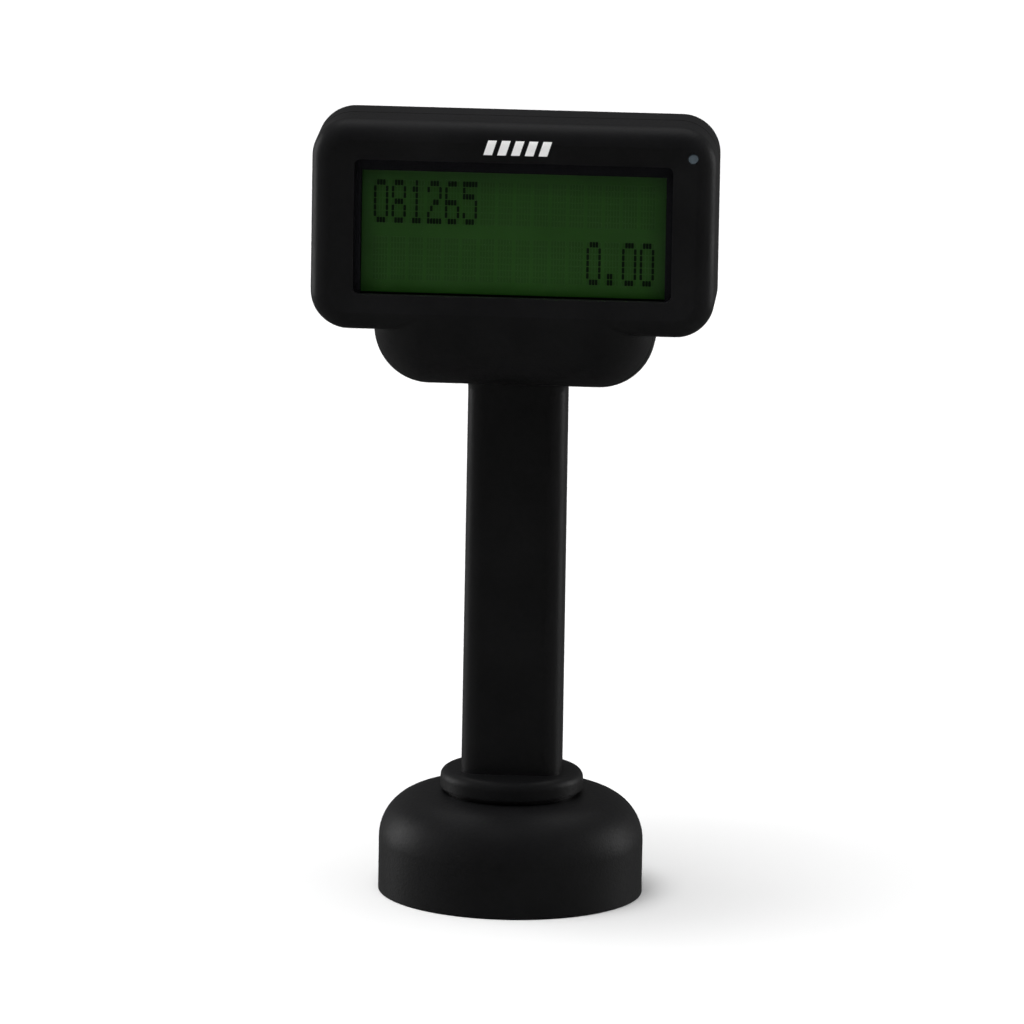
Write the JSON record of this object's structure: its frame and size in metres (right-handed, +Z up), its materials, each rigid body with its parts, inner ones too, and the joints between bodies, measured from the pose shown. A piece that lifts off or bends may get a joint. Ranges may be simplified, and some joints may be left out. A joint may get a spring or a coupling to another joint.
{
  "type": "customer pole display",
  "caption": "Two-line liquid-crystal customer readout in a rounded black head that tilts on a short pole, which swivels on a round screw-down foot.",
  "frame": {"origin": "centre of the foot's underside, on the swivel axis", "axes": "+Z up along the pole and its swivel axis; the display faces -Y; +X is to the right of someone who reads the display"},
  "size_m": [0.075, 0.054, 0.1518],
  "materials": {
    "housing": "near-black ABS with a fine satin moulded texture",
    "lens": "clear acrylic window with a black printed border behind it",
    "cell_glass": "polished display glass",
    "polariser": "green-tinted polarising film",
    "backlight": "yellow-green light guide",
    "display_frame": "black-coated sheet steel",
    "foam": "closed-cell foam",
    "silicone": "layered silicone rubber",
    "circuit_board": "green solder-masked laminate",
    "connector": "black moulded nylon",
    "header": "natural nylon",
    "lead": "soft PVC sheath",
    "led": "phosphor-coated chip lamp",
    "light_pipe": "clear polycarbonate rod",
    "plated_steel": "zinc-plated sheet steel",
    "spring_steel": "phosphated spring steel",
    "screw_steel": "black-oxide screws",
    "brass": "turned brass",
    "acetal": "black acetal"
  },
  "bodies": {
    "base": {"base_housing": "housing", "mount_inserts": "brass", "base_plate": "plated_steel", "base_plate_screws": "screw_steel", "swivel_bush": "acetal", "base_connector": "connector", "jack_contacts": "brass", "lead_tail": "lead"},
    "pole": {"pole_column": "housing", "cable_cover": "housing", "swivel_spring": "spring_steel", "stop_washer": "plated_steel", "retaining_ring": "spring_steel", "pole_lead": "lead"},
    "head": {"front_housing": "housing", "rear_housing": "housing", "housing_screws": "screw_steel", "window_lens": "lens", "lens_tape": "foam", "display_gasket": "foam", "display_frame": "display_frame", "front_polariser": "polariser", "front_glass": "cell_glass", "rear_glass": "cell_glass", "rear_polariser": "polariser", "backlight": "backlight", "contact_strips": "silicone", "display_board": "circuit_board", "driver_chips": "connector", "board_header": "header", "lead_plug": "header", "head_lead": "lead", "status_led": "led", "light_pipe": "light_pipe", "board_screws": "screw_steel", "tilt_bracket": "plated_steel", "bracket_screws": "screw_steel", "pivot_pins": "plated_steel", "pin_clips": "spring_steel", "friction_washer": "acetal", "tilt_spring": "spring_steel"}
  },
  "joints": [
    {"name": "pole_swivel", "type": "hinge", "parent": "base", "child": "pole", "pos_m": [0, 0, 0.0199], "axis": [0, 0, 1], "range_deg": [-165, 165]},
    {"name": "head_tilt", "type": "hinge", "parent": "pole", "child": "head", "pos_m": [0, 0, 0.1112], "axis": [-1, 0, 0], "range_deg": [-8, 30]}
  ]
}
